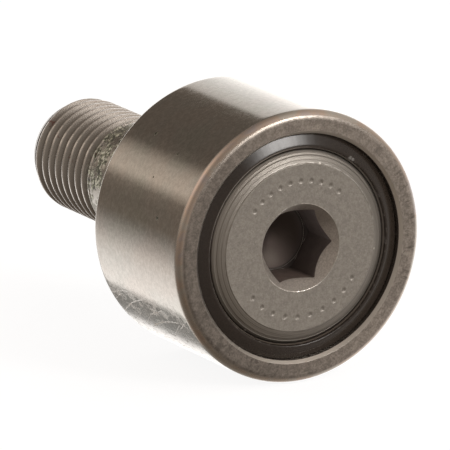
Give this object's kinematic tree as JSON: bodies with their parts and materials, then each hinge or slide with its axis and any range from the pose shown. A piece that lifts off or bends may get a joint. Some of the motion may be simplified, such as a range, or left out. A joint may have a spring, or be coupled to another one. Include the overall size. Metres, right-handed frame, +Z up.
{
  "type": "cam follower",
  "caption": "Stud-type cam follower: a sealed steel roller on needle rollers turns on a flanged stud with a hex socket and a threaded end.",
  "frame": {"origin": "centre of the end plate's rear face, the face that seats against the machine, on the stud's axis", "axes": "+Y along the stud's axis, towards its threaded end; -Y is the flange with the hex socket; +Z up; +X to the right when the socket is seen from the front"},
  "size_m": [0.0254, 0.0421, 0.0254],
  "materials": {
    "stud_steel": "turned and oiled dark steel",
    "race_steel": "ground, polished and heat-tinted dark steel",
    "plate_steel": "turned dark steel",
    "seal_rubber": "glossy moulded black seal",
    "needle_steel": "ground bearing steel"
  },
  "bodies": {
    "stud": {"stud": "stud_steel", "end_plate": "plate_steel"},
    "outer_race": {"outer_race": "race_steel", "seal_front": "seal_rubber", "seal_rear": "seal_rubber"},
    "needle_01": {"needle_01": "needle_steel"},
    "needle_02": {"needle_02": "needle_steel"},
    "needle_03": {"needle_03": "needle_steel"},
    "needle_04": {"needle_04": "needle_steel"},
    "needle_05": {"needle_05": "needle_steel"},
    "needle_06": {"needle_06": "needle_steel"},
    "needle_07": {"needle_07": "needle_steel"},
    "needle_08": {"needle_08": "needle_steel"},
    "needle_09": {"needle_09": "needle_steel"},
    "needle_10": {"needle_10": "needle_steel"},
    "needle_11": {"needle_11": "needle_steel"},
    "needle_12": {"needle_12": "needle_steel"},
    "needle_13": {"needle_13": "needle_steel"},
    "needle_14": {"needle_14": "needle_steel"},
    "needle_15": {"needle_15": "needle_steel"},
    "needle_16": {"needle_16": "needle_steel"},
    "needle_17": {"needle_17": "needle_steel"},
    "needle_18": {"needle_18": "needle_steel"},
    "needle_19": {"needle_19": "needle_steel"},
    "needle_20": {"needle_20": "needle_steel"},
    "needle_21": {"needle_21": "needle_steel"},
    "needle_22": {"needle_22": "needle_steel"}
  },
  "joints": [
    {"name": "outer_race_spin", "type": "hinge", "parent": "stud", "child": "outer_race", "pos_m": [0, -0.00873, 0], "axis": [0, 1, 0], "continuous": true},
    {"name": "needle_orbit", "type": "hinge", "parent": "stud", "child": "needle_01", "pos_m": [0, -0.00873, 0], "axis": [0, 1, 0], "continuous": true},
    {"name": "needle_02_spin", "type": "hinge", "parent": "needle_01", "child": "needle_02", "pos_m": [0.00674, -0.00873, 0.00198], "axis": [0, 1, 0], "continuous": true},
    {"name": "needle_03_spin", "type": "hinge", "parent": "needle_01", "child": "needle_03", "pos_m": [0.00591, -0.00873, 0.0038], "axis": [0, 1, 0], "continuous": true},
    {"name": "needle_04_spin", "type": "hinge", "parent": "needle_01", "child": "needle_04", "pos_m": [0.0046, -0.00873, 0.00531], "axis": [0, 1, 0], "continuous": true},
    {"name": "needle_05_spin", "type": "hinge", "parent": "needle_01", "child": "needle_05", "pos_m": [0.00292, -0.00873, 0.00639], "axis": [0, 1, 0], "continuous": true},
    {"name": "needle_06_spin", "type": "hinge", "parent": "needle_01", "child": "needle_06", "pos_m": [0.001, -0.00873, 0.00695], "axis": [0, 1, 0], "continuous": true},
    {"name": "needle_07_spin", "type": "hinge", "parent": "needle_01", "child": "needle_07", "pos_m": [-0.001, -0.00873, 0.00695], "axis": [0, 1, 0], "continuous": true},
    {"name": "needle_08_spin", "type": "hinge", "parent": "needle_01", "child": "needle_08", "pos_m": [-0.00292, -0.00873, 0.00639], "axis": [0, 1, 0], "continuous": true},
    {"name": "needle_09_spin", "type": "hinge", "parent": "needle_01", "child": "needle_09", "pos_m": [-0.0046, -0.00873, 0.00531], "axis": [0, 1, 0], "continuous": true},
    {"name": "needle_10_spin", "type": "hinge", "parent": "needle_01", "child": "needle_10", "pos_m": [-0.00591, -0.00873, 0.0038], "axis": [0, 1, 0], "continuous": true},
    {"name": "needle_11_spin", "type": "hinge", "parent": "needle_01", "child": "needle_11", "pos_m": [-0.00674, -0.00873, 0.00198], "axis": [0, 1, 0], "continuous": true},
    {"name": "needle_12_spin", "type": "hinge", "parent": "needle_01", "child": "needle_12", "pos_m": [-0.00702, -0.00873, 0], "axis": [0, 1, 0], "continuous": true},
    {"name": "needle_13_spin", "type": "hinge", "parent": "needle_01", "child": "needle_13", "pos_m": [-0.00674, -0.00873, -0.00198], "axis": [0, 1, 0], "continuous": true},
    {"name": "needle_14_spin", "type": "hinge", "parent": "needle_01", "child": "needle_14", "pos_m": [-0.00591, -0.00873, -0.0038], "axis": [0, 1, 0], "continuous": true},
    {"name": "needle_15_spin", "type": "hinge", "parent": "needle_01", "child": "needle_15", "pos_m": [-0.0046, -0.00873, -0.00531], "axis": [0, 1, 0], "continuous": true},
    {"name": "needle_16_spin", "type": "hinge", "parent": "needle_01", "child": "needle_16", "pos_m": [-0.00292, -0.00873, -0.00639], "axis": [0, 1, 0], "continuous": true},
    {"name": "needle_17_spin", "type": "hinge", "parent": "needle_01", "child": "needle_17", "pos_m": [-0.001, -0.00873, -0.00695], "axis": [0, 1, 0], "continuous": true},
    {"name": "needle_18_spin", "type": "hinge", "parent": "needle_01", "child": "needle_18", "pos_m": [0.001, -0.00873, -0.00695], "axis": [0, 1, 0], "continuous": true},
    {"name": "needle_19_spin", "type": "hinge", "parent": "needle_01", "child": "needle_19", "pos_m": [0.00292, -0.00873, -0.00639], "axis": [0, 1, 0], "continuous": true},
    {"name": "needle_20_spin", "type": "hinge", "parent": "needle_01", "child": "needle_20", "pos_m": [0.0046, -0.00873, -0.00531], "axis": [0, 1, 0], "continuous": true},
    {"name": "needle_21_spin", "type": "hinge", "parent": "needle_01", "child": "needle_21", "pos_m": [0.00591, -0.00873, -0.0038], "axis": [0, 1, 0], "continuous": true},
    {"name": "needle_22_spin", "type": "hinge", "parent": "needle_01", "child": "needle_22", "pos_m": [0.00674, -0.00873, -0.00198], "axis": [0, 1, 0], "continuous": true}
  ],
  "couplings": [
    {"joint": "needle_orbit", "follows": "outer_race_spin", "ratio": 0.57151},
    {"joint": "needle_02_spin", "follows": "outer_race_spin", "ratio": 3.4659},
    {"joint": "needle_03_spin", "follows": "outer_race_spin", "ratio": 3.4659},
    {"joint": "needle_04_spin", "follows": "outer_race_spin", "ratio": 3.4659},
    {"joint": "needle_05_spin", "follows": "outer_race_spin", "ratio": 3.4659},
    {"joint": "needle_06_spin", "follows": "outer_race_spin", "ratio": 3.4659},
    {"joint": "needle_07_spin", "follows": "outer_race_spin", "ratio": 3.4659},
    {"joint": "needle_08_spin", "follows": "outer_race_spin", "ratio": 3.4659},
    {"joint": "needle_09_spin", "follows": "outer_race_spin", "ratio": 3.4659},
    {"joint": "needle_10_spin", "follows": "outer_race_spin", "ratio": 3.4659},
    {"joint": "needle_11_spin", "follows": "outer_race_spin", "ratio": 3.4659},
    {"joint": "needle_12_spin", "follows": "outer_race_spin", "ratio": 3.4659},
    {"joint": "needle_13_spin", "follows": "outer_race_spin", "ratio": 3.4659},
    {"joint": "needle_14_spin", "follows": "outer_race_spin", "ratio": 3.4659},
    {"joint": "needle_15_spin", "follows": "outer_race_spin", "ratio": 3.4659},
    {"joint": "needle_16_spin", "follows": "outer_race_spin", "ratio": 3.4659},
    {"joint": "needle_17_spin", "follows": "outer_race_spin", "ratio": 3.4659},
    {"joint": "needle_18_spin", "follows": "outer_race_spin", "ratio": 3.4659},
    {"joint": "needle_19_spin", "follows": "outer_race_spin", "ratio": 3.4659},
    {"joint": "needle_20_spin", "follows": "outer_race_spin", "ratio": 3.4659},
    {"joint": "needle_21_spin", "follows": "outer_race_spin", "ratio": 3.4659},
    {"joint": "needle_22_spin", "follows": "outer_race_spin", "ratio": 3.4659}
  ]
}
